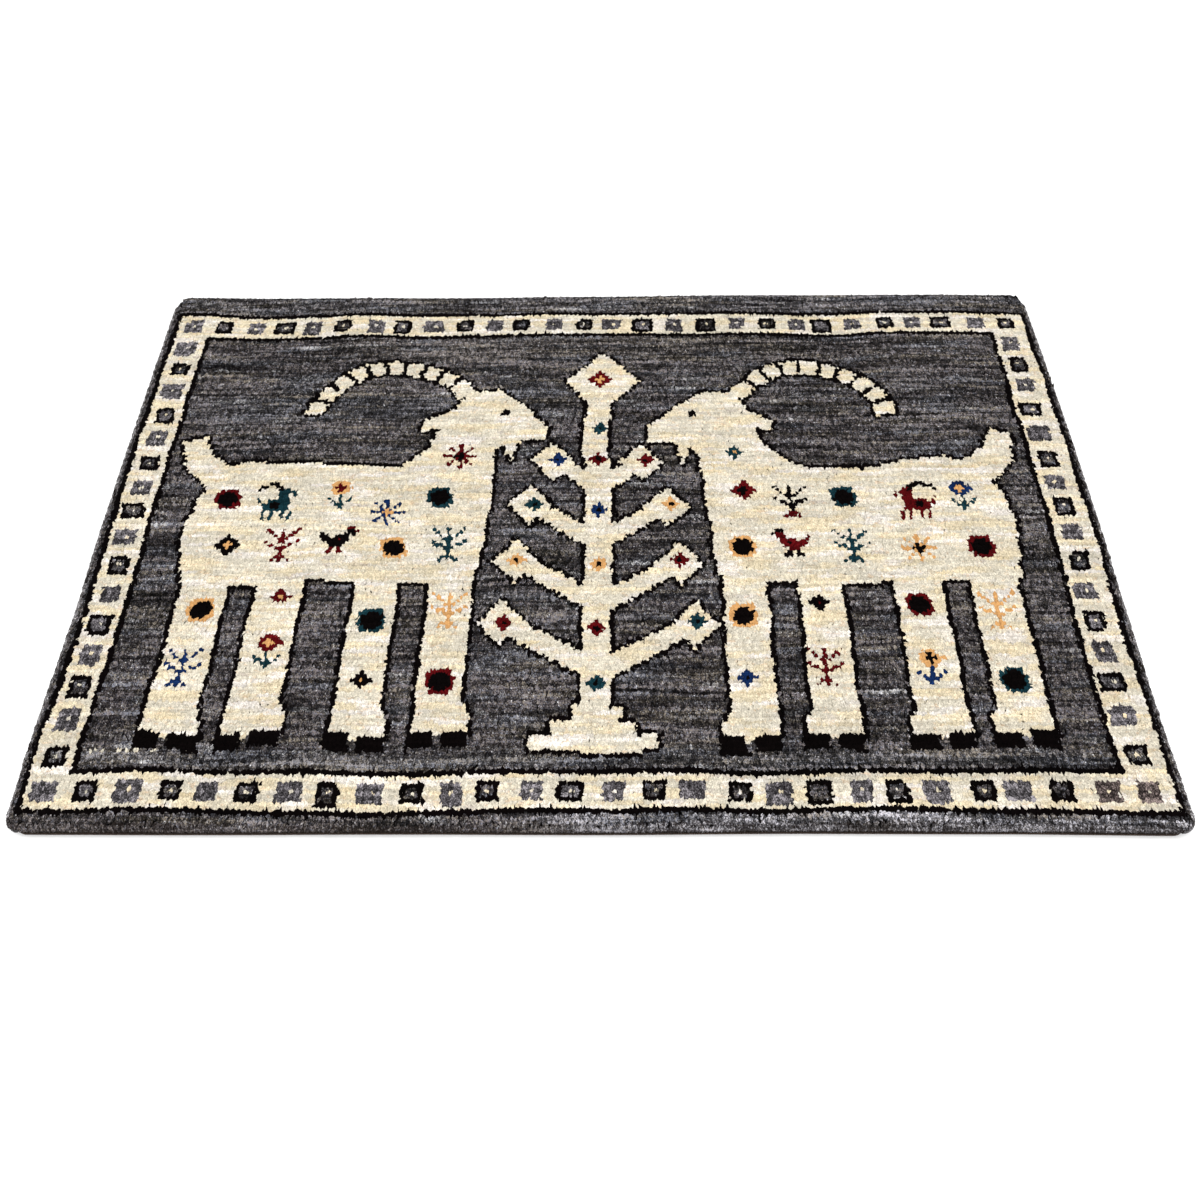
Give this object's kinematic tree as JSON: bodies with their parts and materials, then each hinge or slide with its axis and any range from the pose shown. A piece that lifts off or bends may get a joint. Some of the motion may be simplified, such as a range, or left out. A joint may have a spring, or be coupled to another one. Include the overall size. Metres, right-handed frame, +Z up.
{
  "type": "gabbeh rug",
  "caption": "Small hand-knotted wool rug lying flat, with a dense short pile, a turned-under hem along each long side and an overcast selvedge along each short side.",
  "frame": {"origin": "centre of the rug's outline, on the surface it lies on", "axes": "+X along the long sides, -Y towards the near long side in the picture, +Z up out of the pile"},
  "size_m": [0.9126, 0.6132, 0.014],
  "materials": {
    "charcoal_wool": "cut wool pile, streaked by uneven dyeing",
    "cream_wool": "cut undyed wool pile with golden and pinkish streaks",
    "black_wool": "cut wool pile",
    "grey_wool": "cut wool pile",
    "red_wool": "cut wool pile",
    "teal_wool": "cut wool pile",
    "blue_wool": "cut wool pile",
    "peach_wool": "cut wool pile",
    "selvedge_wool": "wrapped wool yarn",
    "foundation_wool": "close weft-faced weave with the backs of the knots"
  },
  "bodies": {
    "root": {"woven_body": "charcoal_wool", "selvedge_left": "selvedge_wool", "selvedge_right": "selvedge_wool"}
  },
  "joints": []
}
